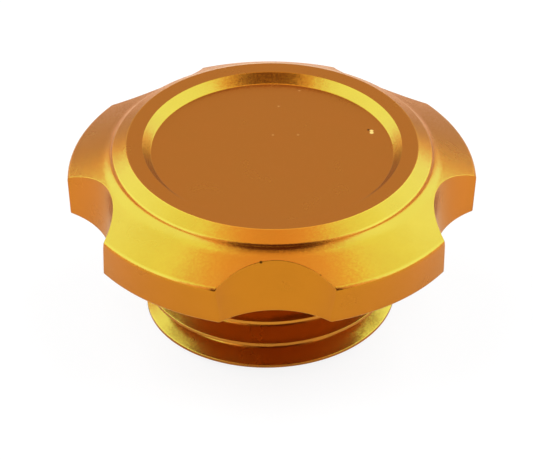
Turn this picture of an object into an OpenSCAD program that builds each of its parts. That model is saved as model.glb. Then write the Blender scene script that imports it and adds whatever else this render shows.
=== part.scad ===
// Oil filler cap: one machined body with a coarse external thread, and the rubber ring that seals it.
// The origin is the centre of the sealing face under the head. +Z points out of the filler neck
// and the front finger scallop faces -Y.

/* [Head] */
// Diameter over the lobes where the side wall is widest
head_d = 68.4; // [62:0.2:76]
// Diameter of the side wall at the sealing face, smaller because the wall leans in downwards
foot_d = 67.4; // [62:0.2:75]
// Height of the head above the sealing face
head_h = 12.9; // [10:0.1:16]
// Height of the rim, where the shoulder turns into the side wall
rim_z = 6.8; // [5:0.1:8]
// Radius of the turned rim
rim_round = 0.9; // [0.4:0.1:1.5]
// Edge break at the foot of the side wall
foot_break = 0.3; // [0.2:0.1:0.8]

/* [Crown] */
// Outer diameter of the flat ring round the recess
crown_d = 48.7; // [46:0.1:50]
// Diameter at the top of the small step below the crown's chamfer
step_d = 53.4; // [52:0.1:56]
// Height of the foot of the step above the sealing face
step_z = 10.9; // [10:0.05:11.5]
// Height of the step
step_h = 0.55; // [0.3:0.05:0.9]
// How far the step leans outwards
step_run = 0.2; // [0.1:0.05:0.4]
// Slope of the conical shoulder, from level down to the rim
shoulder_slope = 27; // [22:0.5:30]
// Width of the hollow curve that leads from the step into the conical shoulder
cove_run = 1.5; // [0.8:0.1:2.5]

/* [Emblem recess] */
// Diameter of the recess at the top face
recess_d = 43.3; // [40:0.1:45]
// Diameter of the recess floor, smaller because its wall is bevelled
recess_floor_d = 40.4; // [37:0.1:41.5]
// Depth of the recess
recess_depth = 1.5; // [0.8:0.1:2.5]

/* [Finger scallops] */
// Number of scallops round the head
scallops = 5; // [4:1:6]
// Radius of the cutter that makes one scallop
scallop_r = 14.3; // [12:0.1:18]
// Distance from the cap's axis to the cutter's axis, at the sealing face
scallop_reach = 43.5; // [42:0.1:49]
// How far the cutter's axis leans towards the cap's axis, upwards
scallop_lean = 3.8; // [0:0.1:6]

/* [Threaded stem] */
// Major diameter of the thread
thread_d = 42; // [40:0.5:44]
// Pitch of the single-start right-hand thread
pitch = 4.5; // [3.5:0.25:5]
// Included angle between the two flanks of the thread
flank_angle = 60; // [50:1:65]
// Width of the flat on the thread's crest
crest_flat = 0.5; // [0.4:0.02:0.9]
// Radius in the bottom of the thread groove
root_round = 0.6; // [0.4:0.05:0.7]
// Depth of the thread's first crest below the sealing face, at the front scallop
crest_drop = 8.55; // [8:0.05:11]
// Length of the stem below the sealing face
stem_len = 19.6; // [18:0.1:26]
// Lead-in chamfer at the end of the stem
stem_break = 0.6; // [0.4:0.1:2]
// Diameter of the neck that carries the seal ring
neck_d = 36.2; // [33:0.1:36.4]
// Height of the neck between the sealing face and the thread
neck_h = 4.4; // [3.9:0.1:5.5]
// Diameter of the hollow inside the stem
bore_d = 29; // [24:0.5:31]
// Thickness of the metal between the hollow and the recess floor
web = 6; // [4:0.5:9]
// Edge break at the mouth of the hollow
bore_break = 0.8; // [0.4:0.1:1.5]

/* [Seal ring] */
// Cord thickness of the seal ring before it is fitted
ring_cord = 3.5; // [3:0.1:3.8]
// Flat that the neck and the sealing face each press into the cord
ring_squeeze = 0.1; // [0.05:0.01:0.2]

/* [Hidden] */
$fn = 180;
facets_per_turn = 72;
root_steps = 4;
cove_steps = 5;
cut = 1;
hair = 0.002;

gold = [0.80, 0.52, 0.16];
rubber = [0.10, 0.10, 0.10];

rim_radius = head_d / 2;
foot_radius = foot_d / 2;
crown_radius = crown_d / 2;
step_radius = step_d / 2;
recess_radius = recess_d / 2;
recess_floor_radius = recess_floor_d / 2;
thread_radius = thread_d / 2;
neck_radius = neck_d / 2;
bore_radius = bore_d / 2;
bore_top = head_h - recess_depth - web;

// The cone runs straight up from the rim. From the step's foot a hollow curve comes down onto it,
// steep at first and level with the cone after cove_run.
shoulder_in = [step_radius + step_run, step_z];
cone_fall = tan(shoulder_slope);
cove_rise = step_z - rim_z - (rim_radius - shoulder_in[0]) * cone_fall;
cove = [for (i = [0 : cove_steps])
    let (t = i / cove_steps)
    [shoulder_in[0] + t * cove_run,
        step_z - t * cove_run * cone_fall - cove_rise * (1 - pow(1 - t, 2))]];

// The wall leans in by this angle. The rim's circle touches the cone and the wall.
wall_lean = atan((rim_radius - foot_radius) / rim_z);
wall_up = [sin(wall_lean), cos(wall_lean)];
wall_out = [cos(wall_lean), -sin(wall_lean)];
cone_out = [sin(shoulder_slope), cos(shoulder_slope)];
rim_corner_at = [rim_radius, rim_z];
rim_centre = rim_corner_at - rim_round * (wall_out + cone_out) / (1 + wall_out * cone_out);

// The thread's groove in section, as radius and height from its middle.
half_flank = flank_angle / 2;
groove_over = min(0.35, 0.7 * crest_flat / 2 / tan(half_flank));
groove_half = (pitch - crest_flat) / 2;
root_radius = thread_radius - groove_half / tan(half_flank) + root_round / sin(half_flank) - root_round;
groove_mouth = [thread_radius + groove_over, groove_half + groove_over * tan(half_flank)];
groove_root = [for (i = [0 : root_steps])
    let (a = (90 - half_flank) * (2 * i / root_steps - 1))
    [root_radius + root_round * (1 - cos(a)), root_round * sin(a)]];
groove_section = concat([[groove_mouth[0], -groove_mouth[1]]], groove_root, [groove_mouth]);

// The groove starts below the stem and runs out in the neck, above the thread.
front_angle = -90;
groove_low = -stem_len - groove_mouth[1] - 0.3;
groove_high = -neck_h + groove_mouth[1] - 0.3;
groove_mid = -crest_drop - pitch / 2;
turn_low = (groove_low - groove_mid) / pitch;
turn_high = (groove_high - groove_mid) / pitch;
groove_steps = ceil((turn_high - turn_low) * facets_per_turn);

cap_body();
seal_ring();

module cap_body() {
    color(gold)
    difference() {
        union() {
            head();
            stem();
        }
        stem_hollow();
    }
}

// Turned head with its finger scallops and the shallow recess for an emblem.
module head() {
    difference() {
        rotate_extrude() head_profile();
        for (i = [0 : scallops - 1])
            rotate([0, 0, front_angle + i * 360 / scallops])
                translate([scallop_reach, 0, 0])
                    rotate([0, -scallop_lean, 0])
                        translate([0, 0, -2 * cut])
                            cylinder(r = scallop_r, h = head_h + 4 * cut);
    }
}

// Flat ring, chamfer, step, hollow curve, conical shoulder and leaning side wall.
module head_profile() {
    difference() {
        polygon(concat(
            [
                [0, 0],
                [0, head_h],
                [crown_radius, head_h],
                [step_radius, step_z + step_h]
            ],
            cove,
            [
                rim_corner_at,
                [foot_radius, 0] + foot_break * wall_up,
                [foot_radius - foot_break, 0]
            ]
        ));
        rim_corner();
        recess_profile();
    }
}

// What the turned rim takes off the sharp corner of shoulder and wall. Its circle is a hair larger
// than the one that only touches them, so that it crosses both cleanly.
module rim_corner() {
    reach = 3 * rim_round;
    difference() {
        polygon([
            rim_centre,
            rim_centre + reach * wall_out,
            rim_centre + reach * (wall_out + cone_out),
            rim_centre + reach * cone_out
        ]);
        translate(rim_centre) circle(r = rim_round + hair);
    }
}

module recess_profile() {
    lean = (recess_radius - recess_floor_radius) / recess_depth;
    polygon([
        [0, head_h - recess_depth],
        [recess_floor_radius, head_h - recess_depth],
        [recess_radius, head_h],
        [recess_radius + lean * cut, head_h + cut],
        [0, head_h + cut]
    ]);
}

// Neck for the seal ring, and below it the threaded length.
module stem() {
    translate([0, 0, -neck_h]) cylinder(r = neck_radius, h = neck_h);
    difference() {
        translate([0, 0, -stem_len]) threaded_blank();
        thread_groove();
    }
}

module threaded_blank() {
    cylinder(r1 = thread_radius - stem_break, r2 = thread_radius, h = stem_break);
    translate([0, 0, stem_break])
        cylinder(r = thread_radius, h = stem_len - neck_h - stem_break);
}

// The groove's section swept along a right-hand helix.
module thread_groove() {
    n = len(groove_section);
    rings = [for (k = [0 : groove_steps])
        let (turn = turn_low + (turn_high - turn_low) * k / groove_steps)
        let (a = front_angle + 360 * turn)
        for (p = groove_section)
            [p[0] * cos(a), p[0] * sin(a), groove_mid + pitch * turn + p[1]]];
    sides = [for (k = [0 : groove_steps - 1], i = [0 : n - 1])
        let (j = (i + 1) % n)
        each [
            [k * n + i, (k + 1) * n + i, (k + 1) * n + j],
            [k * n + i, (k + 1) * n + j, k * n + j]
        ]];
    low_end = [for (i = [0 : n - 1]) i];
    high_end = [for (i = [n - 1 : -1 : 0]) groove_steps * n + i];
    polyhedron(points = rings, faces = concat(sides, [low_end, high_end]), convexity = 8);
}

module stem_hollow() {
    translate([0, 0, -stem_len - cut])
        cylinder(r = bore_radius, h = stem_len + bore_top + cut);
    translate([0, 0, -stem_len - cut])
        cylinder(r1 = bore_radius + bore_break + cut, r2 = bore_radius, h = bore_break + cut);
}

// Rubber ring stretched over the neck, with a flat where it lies on the neck and on the head.
module seal_ring() {
    cord_radius = ring_cord / 2;
    middle = [neck_radius + cord_radius - ring_squeeze, -cord_radius + ring_squeeze];
    color(rubber)
    rotate_extrude()
        intersection() {
            translate(middle) circle(r = cord_radius);
            translate([neck_radius, -ring_cord]) square([ring_cord, ring_cord]);
        }
}
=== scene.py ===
"""Oil filler cap, machined from one piece of gold anodised aluminium, with its rubber seal ring.

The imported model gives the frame. The cap's body is worked out again as one closed surface with
finely broken edges, in the same sizes, and the seal ring keeps its own shape.
"""

import math

import bmesh
import bpy
import numpy as np
from bpy.props import FloatProperty, FloatVectorProperty, IntProperty, PointerProperty
from mathutils import Matrix, Vector


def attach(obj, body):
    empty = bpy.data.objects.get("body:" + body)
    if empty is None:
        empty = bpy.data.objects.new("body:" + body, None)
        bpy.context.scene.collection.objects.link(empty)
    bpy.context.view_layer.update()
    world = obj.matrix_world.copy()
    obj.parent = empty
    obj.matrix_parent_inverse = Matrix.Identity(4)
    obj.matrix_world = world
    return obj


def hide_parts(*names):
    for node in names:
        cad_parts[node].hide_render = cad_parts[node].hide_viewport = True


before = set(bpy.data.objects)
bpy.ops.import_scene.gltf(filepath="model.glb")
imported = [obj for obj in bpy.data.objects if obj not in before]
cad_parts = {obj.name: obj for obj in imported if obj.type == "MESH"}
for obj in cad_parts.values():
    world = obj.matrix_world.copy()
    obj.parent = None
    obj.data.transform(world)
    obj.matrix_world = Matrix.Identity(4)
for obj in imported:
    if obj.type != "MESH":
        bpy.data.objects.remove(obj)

bl_info = {
    "name": "Oil Filler Cap",
    "version": (1, 0, 0),
    "blender": (4, 5, 0),
    "location": "View3D > Sidebar > Filler Cap",
    "description": "Builds a machined filler cap with a coarse thread, scallops and a seal ring",
    "category": "Object",
}

MM = 0.001


def linear(code):
    """Turns an sRGB hex colour into the linear values that shaders use."""
    parts = [int(code[i : i + 2], 16) / 255 for i in (1, 3, 5)]
    return tuple(c / 12.92 if c <= 0.04045 else ((c + 0.055) / 1.055) ** 2.4 for c in parts)


def length(name, description, default_mm):
    """A length that the user can change, given here in millimetres and kept in metres."""
    return FloatProperty(
        name=name,
        description=description,
        default=default_mm * MM,
        min=0.0,
        precision=5,
        unit="LENGTH",
        subtype="DISTANCE",
    )


def angle(name, description, default_degrees):
    """An angle that the user can change, given here in degrees and kept in radians."""
    return FloatProperty(
        name=name,
        description=description,
        default=math.radians(default_degrees),
        unit="ROTATION",
        subtype="ANGLE",
    )


def colour(name, description, code):
    """A colour that the user can change, given here as sRGB hex."""
    return FloatVectorProperty(
        name=name,
        description=description,
        default=linear(code),
        min=0.0,
        max=1.0,
        size=3,
        subtype="COLOR",
    )


def light(name, description, levels):
    """The red, green and blue levels of a light, where 1 is the level of the background."""
    return FloatVectorProperty(name=name, description=description, default=levels, min=0.0, size=3)


class CapSizes(bpy.types.PropertyGroup):
    """Sizes of the machined body."""

    head_d: length("Head diameter", "Across the lobes, where the wall is widest", 68.4)
    foot_d: length("Foot diameter", "Side wall at the sealing face", 67.4)
    head_h: length("Head height", "From the sealing face to the flat top", 12.9)
    rim_z: length("Rim height", "Where the shoulder would meet the side wall", 6.8)
    rim_round: length("Rim radius", "Radius of the turned rim", 0.9)
    foot_break: length("Foot break", "Edge break at the foot of the side wall", 0.3)
    crown_d: length("Crown diameter", "Outside of the flat ring round the recess", 48.7)
    step_d: length("Step diameter", "Top of the small step below the chamfer", 53.4)
    step_z: length("Step height above the face", "Foot of the step", 10.9)
    step_h: length("Step height", "Height of the step", 0.55)
    step_run: length("Step lean", "How far the step leans outwards", 0.2)
    shoulder_slope: angle("Shoulder slope", "Slope of the conical shoulder", 27.0)
    cove_run: length("Cove width", "Hollow curve from the step into the shoulder", 1.5)
    recess_d: length("Recess diameter", "Recess at the top face", 43.3)
    recess_floor_d: length("Recess floor diameter", "Floor of the recess", 40.4)
    recess_depth: length("Recess depth", "From the top face to the floor", 1.5)
    scallops: IntProperty(
        name="Scallops", description="Finger scallops round the head", default=5, min=3, max=8
    )
    scallop_r: length("Scallop radius", "Radius of the cutter", 14.3)
    scallop_reach: length("Scallop reach", "Cap's axis to cutter's axis, at the sealing face", 43.5)
    scallop_lean: angle("Scallop lean", "How far the cutter's axis leans inwards, upwards", 3.8)
    scallop_break: length("Scallop edge break", "Tumbled edge round each scallop", 0.08)
    edge_break: length("Edge break", "Finely rounded edges of the turned faces", 0.1)
    thread_d: length("Thread diameter", "Major diameter", 42.0)
    pitch: length("Pitch", "Pitch of the single-start thread", 4.5)
    flank_angle: angle("Flank angle", "Angle between the two flanks of the thread", 60.0)
    crest_flat: length("Crest flat", "Width of the flat on the crest", 0.5)
    root_round: length("Root radius", "Radius in the bottom of the groove", 0.6)
    crest_drop: length("First crest", "Depth of the first crest at the front", 8.55)
    stem_len: length("Stem length", "Below the sealing face", 19.6)
    stem_break: length("Lead-in chamfer", "At the end of the stem", 0.6)
    neck_d: length("Neck diameter", "Neck that carries the seal ring", 36.2)
    neck_h: length("Neck height", "From the sealing face to the thread", 4.4)
    bore_d: length("Hollow diameter", "Hollow inside the stem", 29.0)
    web: length("Web", "Metal between the hollow and the recess floor", 6.0)
    bore_break: length("Hollow edge break", "At the mouth of the hollow", 0.8)


class CapFinish(bpy.types.PropertyGroup):
    """Colours and surface of the finishes."""

    metal: colour("Anodised metal", "Dyed oxide over blasted aluminium", "#AE6624")
    # lighter colour of the edges: dye worn thin, and partly a painted highlight along them
    worn_and_lit: colour("Edge of the dye", "Thinner dye on the broken edges", "#CC8A3C")
    grain: length("Blast grain", "Size of one dent of the bead blast", 0.2)
    turn: FloatProperty(
        name="Dent turn", description="Spread of the slopes that the dents give", default=0.05
    )
    rubber: colour("Seal rubber", "Black nitrile rubber", "#191919")


class StageSettings(bpy.types.PropertyGroup):
    """Floor and lights."""

    floor: colour("Floor", "Pale plain floor", "#F4F4F4")
    lamp_level: FloatProperty(
        name="Lamps", description="Brightness of the two lamps that light the floor", default=4.0
    )
    side_cards: light("Side cards", "What the metal sees to its left and right", (2.1, 5.6, 5.4))
    side_tops: light("Side card tops", "The upper part of each side card", (1.97, 4.9, 3.15))
    side_rims: light("Side card rims", "The dimmer rim of each side card", (1.9, 1.8, 1.2))
    top_card: light("Top card", "What the metal sees overhead", (1.65, 1.5, 0.85))
    front_card: light("Front card", "What the metal sees behind the camera", (0.16, 0.03, 0.04))


# ---------------------------------------------------------------- shapes

# How far the corners of the section are cut back to round them, where it isn't a size above.
RECESS_EDGE_SHARE = 0.4
FLOOR_SOFT = 0.12 * MM
STEP_SOFT = 0.25 * MM
NECK_SOFT = 0.15 * MM
CREST_SOFT = 0.025 * MM
BORE_MOUTH_SOFT = 0.1 * MM
BORE_TOP_SOFT = 0.5 * MM

# Distance of the row that keeps a flat flat beside a rounded corner, and how worn the dye is from
# row to row across such a corner; the lighter colour of a worn corner is partly a painted highlight.
SUPPORT = 0.04 * MM
CORNER_WEAR_AND_HIGHLIGHT = (0.0, 0.4, 0.8, 1.0, 0.8, 0.4, 0.0)

# How worn the dye is on the turned rim, and how far below the thread's crest it still is. The
# lighter colour there is partly a painted highlight along the rim and the crest.
RIM_WEAR_AND_HIGHLIGHT = 0.25
CREST_WEAR_AND_HIGHLIGHT = 0.7
CREST_WEAR_AND_HIGHLIGHT_DEPTH = 0.12 * MM

# The point on the hollow curve, from its start, that the corner at the step's foot turns to.
COVE_AHEAD = 0.3 * MM

# How far the rows of one distance stay away from the scallops.
SCALLOP_CLEAR = 0.3 * MM

# Radii of the plain rows on the sealing face, on the stem's end and on the hollow's top.
FACE_ROWS = (27.0 * MM, 23.0 * MM)
END_ROW = 17.6 * MM
TOP_ROWS = (10 * MM, 5 * MM, 0)

# Rows from the middle of a groove up to its crest, in mm for a pitch of 4.5 mm. They lie close
# together where the round root meets the flank and where the flank meets the crest.
GROOVE_ROWS_MM = (
    *(0, 0.17, 0.34, 0.5, 0.56, 0.9, 1.3, 1.7, 1.9),
    *(1.945, 1.975, 2.0, 2.025, 2.055, 2.1),
)
GROOVE_ROWS_PITCH = 4.5 * MM

# Points closer than the first become one, and edges shorter than the second are dissolved.
MERGE, SLIVER = 1.5e-6, 1e-7


def corner(before, at, after, cut, steps=4, support=SUPPORT):
    """Rounds one corner of a profile: a quadratic curve from `cut` before the corner to `cut`
    after it, with one more row a little further out on each side that keeps the flats flat."""
    before, at, after = (np.array(p, float) for p in (before, at, after))
    into = (at - before) / np.linalg.norm(at - before)
    out = (after - at) / np.linalg.norm(after - at)
    t = np.linspace(0, 1, steps + 1)[:, None]
    a, c = at - cut * into, at + cut * out
    curve = (1 - t) ** 2 * a + 2 * t * (1 - t) * at + t**2 * c
    return np.vstack([a - support * into, curve, c + support * out])


class Section:
    """The body's section through its axis, as radius and height, worked out from the sizes."""

    def __init__(self, s):
        rim, foot = s.head_d / 2, s.foot_d / 2
        self.s = s
        self.foot = foot
        self.lean = math.atan((rim - foot) / s.rim_z)
        self.start = np.array([s.step_d / 2 + s.step_run, s.step_z])
        fall = math.tan(s.shoulder_slope)
        rise = s.step_z - s.rim_z - (rim - self.start[0]) * fall
        # the hollow curve that comes down onto the cone, then the rim's arc between cone and wall
        u = np.linspace(0, 1, 25)
        drop = u * s.cove_run * fall + rise * (1 - (1 - u) ** 2)
        cove = np.stack([u * s.cove_run, -drop], -1) + self.start
        wall_out = np.array([math.cos(self.lean), -math.sin(self.lean)])
        cone_out = np.array([math.sin(s.shoulder_slope), math.cos(s.shoulder_slope)])
        inwards = (wall_out + cone_out) / (1 + wall_out @ cone_out)
        self.rim_mid = np.array([rim, s.rim_z]) - s.rim_round * inwards
        turn = np.linspace(math.pi / 2 - s.shoulder_slope, -self.lean, 49)
        arc = self.rim_mid + s.rim_round * np.stack([np.cos(turn), np.sin(turn)], -1)
        self.path = np.vstack([cove, arc])
        step = np.hypot(*np.diff(self.path, axis=0).T)
        self.along = np.concatenate([[0], np.cumsum(step)])
        self.shoulder_len = self.along[len(cove)]
        self.whole = self.along[-1]
        self.widest = self.rim_mid[0] + s.rim_round
        self.half = s.flank_angle / 2
        self.groove_half = (s.pitch - s.crest_flat) / 2
        self.root = (
            s.thread_d / 2
            - self.groove_half / math.tan(self.half)
            + s.root_round / math.sin(self.half)
            - s.root_round
        )

    def shoulder(self, along):
        """The point a distance along the hollow curve, the cone and the rim's arc."""
        r, z = self.path.T
        return np.interp(along, self.along, r), np.interp(along, self.along, z)

    def cutter(self, off, z):
        """Radius at which the leaning scallop cutter is met, by the angle from the scallop's
        middle and the height; very large where it isn't. Its level section is an ellipse."""
        s = self.s
        reach = s.scallop_reach - z * math.tan(s.scallop_lean)
        c2 = math.cos(s.scallop_lean) ** 2
        a = c2 * np.cos(off) ** 2 + np.sin(off) ** 2
        b = reach * c2 * np.cos(off)
        under = b**2 - a * (reach**2 * c2 - s.scallop_r**2)
        return np.where(under > 0, (b - np.sqrt(np.maximum(under, 0))) / a, 1.0)

    def crossing(self, off):
        """How far along the shoulder each column meets the cutter; the whole way if it never
        does. The cutter leans, so its radius is found again at each new height."""
        z = np.full(off.shape, self.s.rim_z)
        rising = self.path[:, 0] <= self.widest - 1e-9
        for _ in range(30):
            r = self.cutter(off, z)
            along = np.interp(r, self.path[rising, 0], self.along[rising])
            along = np.where(r >= self.widest, self.whole, along)
            z = self.shoulder(along)[1]
        return along

    def wall(self, z):
        """Radius of the leaning side wall at a height."""
        return self.foot + z * math.tan(self.lean)

    def thread(self, angle, z):
        """Radius of the thread: round root, straight flanks, and a flat crest with softened
        edges, by the distance from the middle of the nearest groove."""
        s = self.s
        turn = (z + s.crest_drop) / s.pitch - angle / (2 * math.pi)
        v = np.abs((turn % 1.0) - 0.5) * s.pitch
        soft = CREST_SOFT
        tan = math.tan(self.half)
        top = s.thread_d / 2
        round_to = s.root_round * math.cos(self.half)
        root = self.root + s.root_round - np.sqrt(np.maximum(s.root_round**2 - v**2, 0))
        flank = top - (self.groove_half - v) / tan
        crest = top - (self.groove_half + soft - v) ** 2 / (4 * soft * tan)
        r = np.where(v < round_to, root, flank)
        r = np.where(v > self.groove_half - soft, crest, r)
        return np.where(v > self.groove_half + soft, top, r)


def columns(s):
    """Angles of the grid's columns from the front, in one turn: close together where a scallop
    meets the wall, wider elsewhere. The two angles between which it does come from the cosine
    rule, at the rim's height just outside the head and at the foot a little inside it."""
    period = 2 * math.pi / s.scallops
    d, c = s.scallop_reach, s.scallop_r
    high = d - s.rim_z * math.tan(s.scallop_lean)
    r_out, r_in = s.head_d / 2 + 0.05 * MM, s.foot_d / 2 - 0.5 * MM
    outer = math.acos((r_out**2 + high**2 - c**2) / (2 * r_out * high))
    inner = math.acos((r_in**2 + d**2 - c**2) / (2 * r_in * d))
    half = np.concatenate(
        [
            np.linspace(0, inner, 13)[:-1],
            np.linspace(inner, outer, 12)[:-1],
            np.linspace(outer, period / 2, 10),
        ]
    )
    one = np.concatenate([half, period - half[::-1][1:]])[:-1]
    return np.append(np.concatenate([one + k * period for k in range(s.scallops)]), 2 * math.pi)


def body_grid(s):
    """Radius, height and edge wear of every grid point, with one row per step along the section
    and one column per angle, from the middle of the recess over the head and down the thread to
    the middle of the hollow's top."""
    sec = Section(s)
    th = columns(s)
    n = len(th)
    rows_r, rows_z, rows_e = [], [], []

    def add(r, z, edge=0.0):
        """Adds one row. A single value stands for every column."""
        r, z = np.atleast_1d(r), np.atleast_1d(z)
        rows_r.append(np.broadcast_to(r, (n,)).copy())
        rows_z.append(np.broadcast_to(z, (n,)).copy())
        rows_e.append(np.broadcast_to(np.atleast_1d(edge), (n,)).copy())

    def add_corner(before, at, after, cut, wear_and_highlight=1.0):
        """Adds the rows of one rounded corner, most worn in its middle, where the lighter colour is
        partly a painted highlight.
        """
        for (r, z), worn_and_lit in zip(corner(before, at, after, cut), CORNER_WEAR_AND_HIGHLIGHT):
            add(r, z, wear_and_highlight * worn_and_lit)

    # recess, flat ring, chamfer and step, as the corners that the section runs through
    floor = s.head_h - s.recess_depth
    knots = [
        (0, floor),
        (s.recess_floor_d / 2, floor),
        (s.recess_d / 2, s.head_h),
        (s.crown_d / 2, s.head_h),
        (s.step_d / 2, s.step_z + s.step_h),
        tuple(sec.start),
    ]
    for r in np.linspace(0, 0.9, 7) * s.recess_floor_d / 2:
        add(r, floor)
    # the last value of each corner is how worn it is; its lighter colour is partly a painted
    # highlight
    corners = (
        (1, FLOOR_SOFT, 0.0),
        (2, RECESS_EDGE_SHARE * s.edge_break, 0.0),
        (3, s.edge_break, 1.0),
        (4, STEP_SOFT, 0.3),
    )
    for k, cut, wear_and_highlight in corners:
        add_corner(knots[k - 1], knots[k], knots[k + 1], cut, wear_and_highlight)
    add_corner(knots[4], knots[5], sec.shoulder(COVE_AHEAD), STEP_SOFT, 0.0)

    # where each column meets the scallop's cutter: on the shoulder, and lower down, at the kink,
    # where the cutter leaves the side wall
    period = 2 * math.pi / s.scallops
    off = (th + period / 2) % period - period / 2
    cross = sec.crossing(off)
    cross_r, cross_z = sec.shoulder(cross)
    cut_here = cross < sec.whole
    foot_z = s.foot_break
    kink = np.full(n, foot_z)
    for _ in range(60):
        kink = 0.5 * kink + 0.5 * (sec.cutter(off, kink) - sec.foot) / math.tan(sec.lean)
        kink = np.clip(kink, foot_z, cross_z)
    kink = np.where(cut_here, kink, cross_z)
    brk = np.minimum(s.scallop_break, 0.4 * (cross_z - kink))
    ends = cross - brk

    # rows of one distance as far as no scallop reaches, then rows that end at the crossing
    nearest = s.scallop_reach - s.head_h * math.tan(s.scallop_lean) - s.scallop_r
    clear = nearest - SCALLOP_CLEAR
    fixed = np.interp(clear, sec.path[:40, 0], sec.along[:40]) * np.linspace(0.24, 1, 7)
    for along in fixed:
        r, z = sec.shoulder(along)
        add(r, z)
    first = fixed[-1]
    stop = np.minimum(ends, sec.shoulder_len)
    for t in np.append(np.linspace(0, 1, 15)[1:-1], (0.985, 1.0)):
        r, z = sec.shoulder(first + t * (stop - first))
        add(r, z)
    # the rim's arc, where the column gets that far before its scallop, lighter across its middle,
    # partly as a painted highlight
    past = np.maximum(ends - sec.shoulder_len, 0)
    for t in np.linspace(0, 1, 11)[1:]:
        along = np.where(past > 0, sec.shoulder_len + t * past, stop)
        r, z = sec.shoulder(along)
        add(r, z, np.where(cut_here, 0.0, RIM_WEAR_AND_HIGHLIGHT * math.sin(math.pi * t)))
    # the tumbled edge, a quadratic curve from the shoulder over the crossing to the cutter, lighter
    # across its middle, partly as a painted highlight
    a_r, a_z = sec.shoulder(ends)
    c_z = cross_z - brk
    c_r = np.where(cut_here, sec.cutter(off, c_z), cross_r)
    for t in (0.25, 0.5, 0.75, 1.0):
        r = (1 - t) ** 2 * a_r + 2 * t * (1 - t) * cross_r + t**2 * c_r
        z = (1 - t) ** 2 * a_z + 2 * t * (1 - t) * cross_z + t**2 * c_z
        add(r, z, np.where(cut_here, 1.0 - abs(2 * t - 1), 0.0))

    # scallop's wall, then the leaning side wall, then the foot
    for t in (0.02, 0.25, 0.5, 0.75, 1.0):
        z = c_z + t * (kink - c_z)
        add(np.where(cut_here, sec.cutter(off, z), cross_r), z)
    for t in (0.03, 0.3, 0.6, 0.97, 1.0):
        z = kink + t * (foot_z - kink)
        add(np.minimum(sec.wall(z), sec.cutter(off, z)), z)
    foot_r = np.minimum(sec.foot, sec.cutter(off, 0.0))
    top_r = np.minimum(sec.wall(foot_z), sec.cutter(off, foot_z))
    # the foot's break, lighter across its middle, partly as a painted highlight
    for t in (0.25, 0.5, 0.75, 1.0):
        r = (1 - t) ** 2 * top_r + 2 * t * (1 - t) * foot_r + t**2 * (foot_r - s.foot_break)
        z = (1 - t) ** 2 * foot_z
        add(r, z, 1.0 - abs(2 * t - 1))
    add(foot_r - s.foot_break - SUPPORT, 0.0)

    # sealing face and neck
    neck = s.neck_d / 2
    for r in FACE_ROWS:
        add(r, 0.0)
    add_corner((FACE_ROWS[-1], 0), (neck, 0), (neck, -1 * MM), NECK_SOFT, 0.0)
    add(neck, -s.neck_h + 0.05 * MM)
    add(neck, -s.neck_h)

    # thread: rows follow the helix and are held between the two planes that end it
    half_rows = np.array(GROOVE_ROWS_MM) * MM * (s.pitch / GROOVE_ROWS_PITCH)
    cell = np.concatenate([half_rows, [s.pitch / 2], (s.pitch - half_rows[::-1])[:-1]])
    middle = -s.crest_drop - s.pitch / 2
    blank = s.thread_d / 2

    def helix(high, low):
        """Adds the rows of each turn that lie between two heights. A row's height is the
        groove's middle plus the pitch times the turn, less the row's own drop."""
        first_turn = math.ceil((high - middle) / s.pitch) + 1
        last_turn = math.floor((low - middle) / s.pitch) - 2
        for turn in range(first_turn, last_turn - 1, -1):
            for drop in cell:
                base = middle + s.pitch * (turn + th / (2 * math.pi)) - drop
                z = np.clip(base, low, high)
                if (z == z[0]).all() and z[0] in (low, high):
                    continue
                r = sec.thread(th, z)
                bevel = blank - s.stem_break + (z + s.stem_len)
                # crests are lighter: worn dye, and partly a painted highlight along them
                crest = np.exp(-(((r - blank) / CREST_WEAR_AND_HIGHLIGHT_DEPTH) ** 2))
                add(np.minimum(r, bevel), z, CREST_WEAR_AND_HIGHLIGHT * crest * (base == z))

    add(sec.thread(th, np.full(n, -s.neck_h)), -s.neck_h)
    helix(-s.neck_h, -s.stem_len + s.stem_break)
    helix(-s.stem_len + s.stem_break, -s.stem_len)
    end_r = np.minimum(sec.thread(th, np.full(n, -s.stem_len)), blank - s.stem_break)
    add(end_r, -s.stem_len)

    # end face and hollow
    bore, top = s.bore_d / 2, s.head_h - s.recess_depth - s.web
    add(np.minimum(end_r - 0.1 * MM, END_ROW), -s.stem_len)
    mouth = (bore + s.bore_break, -s.stem_len)
    inner = (bore, -s.stem_len + s.bore_break)
    add_corner((17.5 * MM, -s.stem_len), mouth, inner, BORE_MOUTH_SOFT)
    add_corner(mouth, inner, (bore, 0), BORE_MOUTH_SOFT, 0.6)
    add_corner((bore, 0), (bore, top), (0, top), BORE_TOP_SOFT, 0.0)
    for r in TOP_ROWS:
        add(r, top)
    return th, np.array(rows_r), np.array(rows_z), np.array(rows_e)


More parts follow.
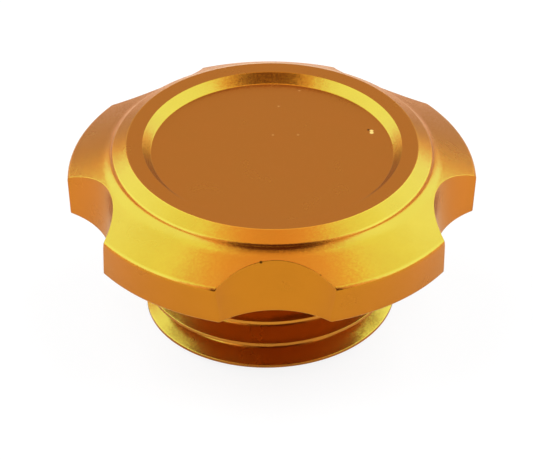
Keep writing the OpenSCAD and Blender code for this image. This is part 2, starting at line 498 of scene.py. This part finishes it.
def grid_mesh(name, th, r, z, edge):
    """Puts the grid into a mesh. Angle 0 is the front, -Y. Points that fall together, at the
    poles, at the seam and where rows are held, become one."""
    a = th - math.pi / 2
    xyz = np.stack([r * np.cos(a), r * np.sin(a), z], axis=-1).reshape(-1, 3)
    rows, cols = r.shape
    i = np.arange(rows - 1)[:, None] * cols + np.arange(cols - 1)[None, :]
    quads = np.stack([i, i + cols, i + cols + 1, i + 1], axis=-1).reshape(-1, 4)
    mesh = bpy.data.meshes.new(name)
    mesh.from_pydata(xyz, [], quads)
    # lighter edges: worn dye, and partly a painted highlight along them
    wear_and_highlight = mesh.attributes.new("edge_wear_and_highlight", "FLOAT", "POINT")
    wear_and_highlight.data.foreach_set("value", edge.reshape(-1).astype(np.float32))
    bm = bmesh.new()
    bm.from_mesh(mesh)
    bmesh.ops.remove_doubles(bm, verts=bm.verts, dist=MERGE)
    bmesh.ops.dissolve_degenerate(bm, edges=bm.edges, dist=SLIVER)
    bmesh.ops.recalc_face_normals(bm, faces=bm.faces)
    bm.to_mesh(mesh)
    bm.free()
    mesh.polygons.foreach_set("use_smooth", np.ones(len(mesh.polygons), dtype=bool))
    return mesh


# ---------------------------------------------------------------- finishes


def node(tree, kind, values=None, links=None, **settings):
    """Adds a node with its settings, its input values and the sockets linked to its inputs."""
    new = tree.nodes.new(kind)
    for key, value in settings.items():
        setattr(new, key, value)
    for key, value in (values or {}).items():
        new.inputs[key].default_value = value
    for key, socket in (links or {}).items():
        tree.links.new(socket, new.inputs[key])
    return new


def new_material(name):
    """An empty node material and its output."""
    made = bpy.data.materials.new(name)
    made.use_nodes = True
    made.node_tree.nodes.clear()
    return made, made.node_tree, made.node_tree.nodes.new("ShaderNodeOutputMaterial")


# Small marks in the finish, with a painted glint and painted shade among them: middle and radius in
# mm, colour, and how much of it shows.
MARKS = (
    # two bright spots of a painted glint, and the painted shade of a pit beside them, on the recess
    # floor
    ((16.77, 5.46, 11.4), 0.42, "#FFDC84", 1.0),
    ((16.77, 6.02, 11.4), 0.40, "#FFDC84", 1.0),
    ((16.25, 6.31, 11.4), 0.28, "#3A1606", 0.9),
    # faint specks on the recess floor
    ((4.96, 18.20, 11.4), 0.28, "#E8B070", 0.35),
    ((1.35, 13.45, 11.4), 0.28, "#E8B070", 0.3),
    ((0.22, 4.93, 11.4), 0.28, "#E8B070", 0.3),
    ((4.42, 4.93, 11.4), 0.28, "#E8B070", 0.3),
    # painted shade of nicks in the upper edge of the front scallop
    ((-2.35, -28.76, 9.48), 0.34, "#2A1004", 0.9),
    ((7.29, -30.65, 8.26), 0.24, "#2A1004", 0.6),
)


def blasted_anodised_aluminium(finish):
    """Aluminium, bead blasted to an even fine grain and then anodised and dyed gold. The eye sees
    a metal with soft reflections that break up into fine grain where light turns to dark."""
    made, tree, out = new_material("blasted_anodised_aluminium")
    place = node(tree, "ShaderNodeTexCoord").outputs["Object"]
    wear_and_highlight = node(tree, "ShaderNodeAttribute", attribute_name="edge_wear_and_highlight").outputs["Fac"]
    # dents of a fifth of a millimetre, coarser than a fine blast leaves them, so that they show:
    # each is a cell that turns the surface its own way
    dents = node(tree, "ShaderNodeTexVoronoi", {"Scale": 1 / finish.grain}, {"Vector": place})
    turned = node(
        tree,
        "ShaderNodeVectorMath",
        {1: (finish.turn,) * 3, 2: (-finish.turn / 2,) * 3},
        {0: dents.outputs["Color"]},
        operation="MULTIPLY_ADD",
    )
    facing = node(tree, "ShaderNodeNewGeometry").outputs["Normal"]
    dented = node(
        tree, "ShaderNodeVectorMath", links={0: turned.outputs[0], 1: facing}, operation="ADD"
    )
    dented = node(tree, "ShaderNodeVectorMath", links={0: dented.outputs[0]}, operation="NORMALIZE")
    # cloudy change of the dye and of the blast over some six millimetres
    cloud = node(
        tree, "ShaderNodeTexNoise", {"Scale": 1 / (6.25 * MM), "Detail": 3.0}, {"Vector": place}
    )
    dye = node(
        tree,
        "ShaderNodeMix",
        {"A": (*finish.metal, 1), "B": (*[c * 0.9 for c in finish.metal], 1)},
        {"Factor": cloud.outputs["Fac"]},
        data_type="RGBA",
    )
    # edges get the lighter colour: dye worn thin, and partly a painted highlight along the edges
    wear_and_highlight_share = node(tree, "ShaderNodeMath", {1: 0.5}, {0: wear_and_highlight}, operation="MULTIPLY")
    edge = node(
        tree,
        "ShaderNodeMix",
        {"B": (*finish.worn_and_lit, 1)},
        {"Factor": wear_and_highlight_share.outputs[0], "A": dye.outputs["Result"]},
        data_type="RGBA",
    )
    skin = edge.outputs["Result"]
    for at, radius, code, share in MARKS:
        # full within half the mark's radius and gone at the whole radius
        middle, reach = [v * MM for v in at], radius * MM
        away = node(tree, "ShaderNodeVectorMath", {1: middle}, {0: place}, operation="DISTANCE")
        spot = node(
            tree,
            "ShaderNodeMapRange",
            {"From Min": 0.5 * reach, "From Max": reach, "To Min": share, "To Max": 0.0},
            {"Value": away.outputs["Value"]},
        )
        skin = node(
            tree,
            "ShaderNodeMix",
            {"B": (*linear(code), 1)},
            {"Factor": spot.outputs["Result"], "A": skin},
            data_type="RGBA",
        ).outputs["Result"]
    rough = node(
        tree,
        "ShaderNodeMapRange",
        {"From Min": 0.3, "From Max": 0.7, "To Min": 0.23, "To Max": 0.28},
        {"Value": cloud.outputs["Fac"]},
    )
    metal = node(
        tree,
        "ShaderNodeBsdfPrincipled",
        # the dyed oxide keeps some of its tint at a flat angle, where bare metal would go white
        {"Metallic": 1.0, "Specular Tint": (0.92, 0.85, 0.72, 1)},
        {"Base Color": skin, "Roughness": rough.outputs["Result"], "Normal": dented.outputs[0]},
    )
    tree.links.new(metal.outputs["BSDF"], out.inputs["Surface"])
    return made


def moulded_nitrile_rubber(finish):
    """Black nitrile rubber as it comes from the mould. The eye sees it dull, with a faint bloom in
    patches of two millimetres and a skin of fine grain, drawn at a sixth of a millimetre to show."""
    made, tree, out = new_material("moulded_nitrile_rubber")
    place = node(tree, "ShaderNodeTexCoord").outputs["Object"]
    bloom = node(
        tree, "ShaderNodeTexNoise", {"Scale": 1 / (2 * MM), "Detail": 4.0}, {"Vector": place}
    )
    fine = node(tree, "ShaderNodeTexNoise", {"Scale": 6 / MM, "Detail": 2.0}, {"Vector": place})
    tint = node(
        tree,
        "ShaderNodeMix",
        {"A": (*finish.rubber, 1), "B": (*[c * 1.8 for c in finish.rubber], 1)},
        {"Factor": bloom.outputs["Fac"]},
        data_type="RGBA",
    )
    rough = node(
        tree,
        "ShaderNodeMapRange",
        {"To Min": 0.5, "To Max": 0.72},
        {"Value": bloom.outputs["Fac"]},
    )
    bump = node(
        tree,
        "ShaderNodeBump",
        {"Strength": 0.2, "Distance": 0.02 * MM},
        {"Height": fine.outputs["Fac"]},
    )
    skin = node(
        tree,
        "ShaderNodeBsdfPrincipled",
        {"IOR": 1.52},
        {
            "Base Color": tint.outputs["Result"],
            "Roughness": rough.outputs["Result"],
            "Normal": bump.outputs["Normal"],
        },
    )
    tree.links.new(skin.outputs["BSDF"], out.inputs["Surface"])
    return made


# What reflections find of the floor, by the share of the way from its near to its far row, as
# painted light and shade:
# warm from the gold light in front of the cap, white under it, and darker behind it.
FLOOR_NEAR, FLOOR_FAR = -0.055, 0.3
FLOOR_PAINTED_LIGHT_AND_SHADE = (
    (0.0, (0.84, 0.96, 0.48, 1)),
    (0.11, (0.97, 1.0, 1.0, 1)),
    (0.33, (0.70, 0.66, 0.58, 1)),
    (0.55, (0.84, 0.66, 0.54, 1)),
    (1.0, (0.66, 0.56, 0.52, 1)),
)

# How far the floor is plain white to the camera. The rest is lit and keeps the shadow.
PLAIN_WHITE = 0.88


def pale_floor(stage):
    """A matt white board. The camera sees it nearly white, and it keeps the shadow; reflections see
    painted light and shade on it.
    """
    made, tree, out = new_material("pale_floor")
    seen = node(tree, "ShaderNodeLightPath").outputs["Is Camera Ray"]
    place = node(tree, "ShaderNodeTexCoord").outputs["Object"]
    depth = node(tree, "ShaderNodeSeparateXYZ", links={0: place}).outputs["Y"]
    behind = node(
        tree,
        "ShaderNodeMapRange",
        {"From Min": FLOOR_NEAR, "From Max": FLOOR_FAR},
        {"Value": depth},
    )
    tint = node(tree, "ShaderNodeValToRGB", links={0: behind.outputs["Result"]})
    ramp = tint.color_ramp.elements
    ramp[0].color, ramp[1].color = FLOOR_PAINTED_LIGHT_AND_SHADE[0][1], FLOOR_PAINTED_LIGHT_AND_SHADE[-1][1]
    for share, levels in FLOOR_PAINTED_LIGHT_AND_SHADE[1:-1]:
        ramp.new(share).color = levels
    # reflections see the floor's painted light and shade instead of its plain colour
    glossy = node(tree, "ShaderNodeLightPath").outputs["Is Glossy Ray"]
    board = node(
        tree,
        "ShaderNodeMix",
        {"A": (*stage.floor, 1)},
        {"B": tint.outputs["Color"], "Factor": glossy},
        data_type="RGBA",
    )
    matt = node(tree, "ShaderNodeBsdfDiffuse", links={"Color": board.outputs["Result"]})
    white = node(tree, "ShaderNodeEmission", {"Color": (1, 1, 1, 1), "Strength": 1.0})
    plain = node(tree, "ShaderNodeMath", {1: PLAIN_WHITE}, {0: seen}, operation="MULTIPLY")
    mix = node(
        tree,
        "ShaderNodeMixShader",
        links={0: plain.outputs[0], 1: matt.outputs[0], 2: white.outputs[0]},
    )
    tree.links.new(mix.outputs[0], out.inputs["Surface"])
    return made


# ---------------------------------------------------------------- operators


def piece(name, mesh, material):
    """Puts a mesh in the scene as a piece of the object."""
    made = bpy.data.objects.new(name, mesh)
    bpy.context.scene.collection.objects.link(made)
    made.data.materials.clear()
    made.data.materials.append(material)
    return made


class CAP_OT_body(bpy.types.Operator):
    """Machined body: head, recess, scallops, neck, thread and hollow as one closed surface"""

    bl_idname = "filler_cap.body"
    bl_label = "Machined body"

    def execute(self, context):
        sizes, finish = context.scene.cap_sizes, context.scene.cap_finish
        mesh = grid_mesh("machined_body", *body_grid(sizes))
        body = piece("machined_body", mesh, blasted_anodised_aluminium(finish))
        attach(body, "root")
        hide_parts("cap_body")
        return {"FINISHED"}


class CAP_OT_seal(bpy.types.Operator):
    """Finish of the seal ring, which keeps its own shape"""

    bl_idname = "filler_cap.seal"
    bl_label = "Seal ring"

    def execute(self, context):
        rubber = moulded_nitrile_rubber(context.scene.cap_finish)
        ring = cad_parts["seal_ring"]
        for slot in ring.material_slots:
            slot.material = rubber
        return {"FINISHED"}


def softbox(name, at, width, height, level):
    """A rectangular lamp at a place, turned to the cap. Its power is its level as a radiance times
    pi times its area."""
    lamp = bpy.data.lights.new(name, "AREA")
    lamp.shape = "RECTANGLE"
    lamp.size, lamp.size_y = width, height
    lamp.energy = level * math.pi * width * height
    made = bpy.data.objects.new(name, lamp)
    bpy.context.scene.collection.objects.link(made)
    at = Vector(at)
    turned = (-at).to_track_quat("-Z", "Y").to_matrix().to_4x4()
    made.matrix_world = Matrix.Translation(at) @ turned
    made.visible_glossy = False


def card(name, azimuths, elevations, levels, distance=1.5):
    """A curved reflector card, a patch of a sphere round the cap between two angles round from
    the front and two angles up. Only reflections see it."""
    n = 25
    a, e = (np.radians(np.linspace(*ends, n)) for ends in (azimuths, elevations))
    a, e = np.meshgrid(a, e)
    unit = np.stack([np.sin(a) * np.cos(e), -np.cos(a) * np.cos(e), np.sin(e)], -1)
    i = np.arange(n - 1)[:, None] * n + np.arange(n - 1)[None, :]
    quads = np.stack([i, i + 1, i + n + 1, i + n], -1).reshape(-1, 4)
    mesh = bpy.data.meshes.new(name)
    mesh.from_pydata((distance * unit).reshape(-1, 3), [], quads)
    glow, tree, out = new_material(name)
    level = max(levels)
    shade = (*[c / level for c in levels], 1)
    emit = node(tree, "ShaderNodeEmission", {"Color": shade, "Strength": level})
    tree.links.new(emit.outputs[0], out.inputs["Surface"])
    made = piece(name, mesh, glow)
    made.visible_camera = made.visible_diffuse = made.visible_shadow = False


def around(azimuth, elevation, distance):
    """A place by its angle round from the front to the right, its angle up, and its distance."""
    a, e = math.radians(azimuth), math.radians(elevation)
    return (
        distance * math.sin(a) * math.cos(e),
        -distance * math.cos(a) * math.cos(e),
        distance * math.sin(e),
    )


FLOOR_HALF = 4.0

# The two lamps: degrees round from the front and up, distance, width and height in metres.
LAMP_ROUND, LAMP_UP, LAMP_DISTANCE = 100, 48, 1.1
LAMP_WIDTH, LAMP_HEIGHT = 1.25, 1.1

# Level of the white background as a light for the matt surfaces, and as the camera and
# reflections see it.
WORLD_LIGHT, WORLD_SEEN = 0.25, 1.05

# The photograph's camera as fitted to the edges in it: its place, its tilt, pan and roll in
# radians, how far it is turned round the cap, and its focal length in pixels.
CAMERA_AT = (0, -0.69536, 0.49200)
CAMERA_TILT, CAMERA_PAN, CAMERA_ROLL = 0.6202, -0.0012, 0.0085
CAMERA_ROUND = -0.0243
FOCAL_PIXELS, PICTURE_PIXELS, SENSOR_MM = 5074.14, 533, 36


class CAP_OT_stage(bpy.types.Operator):
    """Pale floor, soft studio light and the camera at the photograph's angle"""

    bl_idname = "filler_cap.stage"
    bl_label = "Stage"

    def execute(self, context):
        scene, stage, sizes = context.scene, context.scene.cap_stage, context.scene.cap_sizes
        mesh = bpy.data.meshes.new("floor")
        half, low = FLOOR_HALF, -sizes.stem_len
        corners = [(-half, -half, low), (half, -half, low), (half, half, low), (-half, half, low)]
        mesh.from_pydata(corners, [], [(0, 1, 2, 3)])
        floor = piece("floor", mesh, pale_floor(stage))

        for side, name in ((-1, "left"), (1, "right")):
            at = around(side * LAMP_ROUND, LAMP_UP, LAMP_DISTANCE)
            softbox(f"lamp_{name}", at, LAMP_WIDTH, LAMP_HEIGHT, stage.lamp_level)
        card("card_left", (-142, -50), (10, 50), stage.side_cards)
        card("card_right", (56, 142), (10, 50), stage.side_cards)
        card("top_left", (-142, -50), (50, 69), stage.side_tops)
        card("top_right", (56, 142), (50, 68), stage.side_tops)
        card("rim_left", (-149, -31), (0, 78), stage.side_rims, 1.55)
        card("rim_right", (37, 149), (0, 77), stage.side_rims, 1.55)
        card("card_top", (-180, 180), (61, 90), stage.top_card, 1.6)
        card("card_front", (-33, 38), (0, 70), stage.front_card, 1.65)

        world = bpy.data.worlds.new("studio")
        scene.world = world
        world.use_nodes = True
        tree = world.node_tree
        tree.nodes.clear()
        ray = node(tree, "ShaderNodeLightPath").outputs
        seen = ray["Is Camera Ray"]
        for kind in ("Is Glossy Ray", "Is Transmission Ray"):
            either = node(tree, "ShaderNodeMath", links={0: seen, 1: ray[kind]}, operation="MAXIMUM")
            seen = either.outputs[0]
        level = node(
            tree,
            "ShaderNodeMapRange",
            {"To Min": WORLD_LIGHT, "To Max": WORLD_SEEN},
            {"Value": seen},
        )
        back = node(
            tree,
            "ShaderNodeBackground",
            {"Color": (1, 1, 1, 1)},
            {"Strength": level.outputs["Result"]},
        )
        out = node(tree, "ShaderNodeOutputWorld")
        tree.links.new(back.outputs[0], out.inputs["Surface"])

        self.camera(scene)
        scene.view_settings.view_transform = "Standard"
        return {"FINISHED"}

    def camera(self, scene):
        """Looks down at 35.5 degrees from 0.85 m, where the photograph was taken. Its axes come
        from the tilt and the pan, are turned by the roll, and then go round the cap."""
        tilt, pan, roll = CAMERA_TILT, CAMERA_PAN, CAMERA_ROLL
        flat = math.cos(tilt)
        ahead = Vector((math.sin(pan) * flat, math.cos(pan) * flat, -math.sin(tilt)))
        right = Vector((math.cos(pan), -math.sin(pan), 0))
        up = right.cross(ahead)
        c, s = math.cos(roll), math.sin(roll)
        right, up = c * right + s * up, c * up - s * right
        place = Matrix((right, up, -ahead)).transposed().to_4x4()
        place.translation = Vector(CAMERA_AT)
        data = bpy.data.cameras.new("camera")
        data.sensor_fit = "HORIZONTAL"
        data.sensor_width = SENSOR_MM
        data.lens = SENSOR_MM * FOCAL_PIXELS / PICTURE_PIXELS
        data.clip_start, data.clip_end = 0.01, 20
        made = bpy.data.objects.new("camera", data)
        scene.collection.objects.link(made)
        made.matrix_world = Matrix.Rotation(CAMERA_ROUND, 4, "Z") @ place
        scene.camera = made


class CAP_PT_panel(bpy.types.Panel):
    """Lists the sizes, the finishes and the steps"""

    bl_idname = "CAP_PT_panel"
    bl_label = "Filler Cap"
    bl_space_type = "VIEW_3D"
    bl_region_type = "UI"
    bl_category = "Filler Cap"

    def draw(self, context):
        scene = context.scene
        for group in (scene.cap_sizes, scene.cap_finish, scene.cap_stage):
            box = self.layout.box()
            for key in group.__annotations__:
                box.prop(group, key)
        for operator in (CAP_OT_body, CAP_OT_seal, CAP_OT_stage):
            self.layout.operator(operator.bl_idname)


CLASSES = (
    *(CapSizes, CapFinish, StageSettings),
    *(CAP_OT_body, CAP_OT_seal, CAP_OT_stage, CAP_PT_panel),
)


def register():
    """Makes the classes and the three groups of settings known."""
    for cls in CLASSES:
        bpy.utils.register_class(cls)
    bpy.types.Scene.cap_sizes = PointerProperty(type=CapSizes)
    bpy.types.Scene.cap_finish = PointerProperty(type=CapFinish)
    bpy.types.Scene.cap_stage = PointerProperty(type=StageSettings)


def unregister():
    """Takes them away again, last first."""
    del bpy.types.Scene.cap_stage
    del bpy.types.Scene.cap_finish
    del bpy.types.Scene.cap_sizes
    for cls in reversed(CLASSES):
        bpy.utils.unregister_class(cls)


def main():
    """Builds the dressed cap on its stage."""
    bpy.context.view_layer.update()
    register()
    bpy.ops.filler_cap.body()
    bpy.ops.filler_cap.seal()
    bpy.ops.filler_cap.stage()


if __name__ == "__main__":
    main()
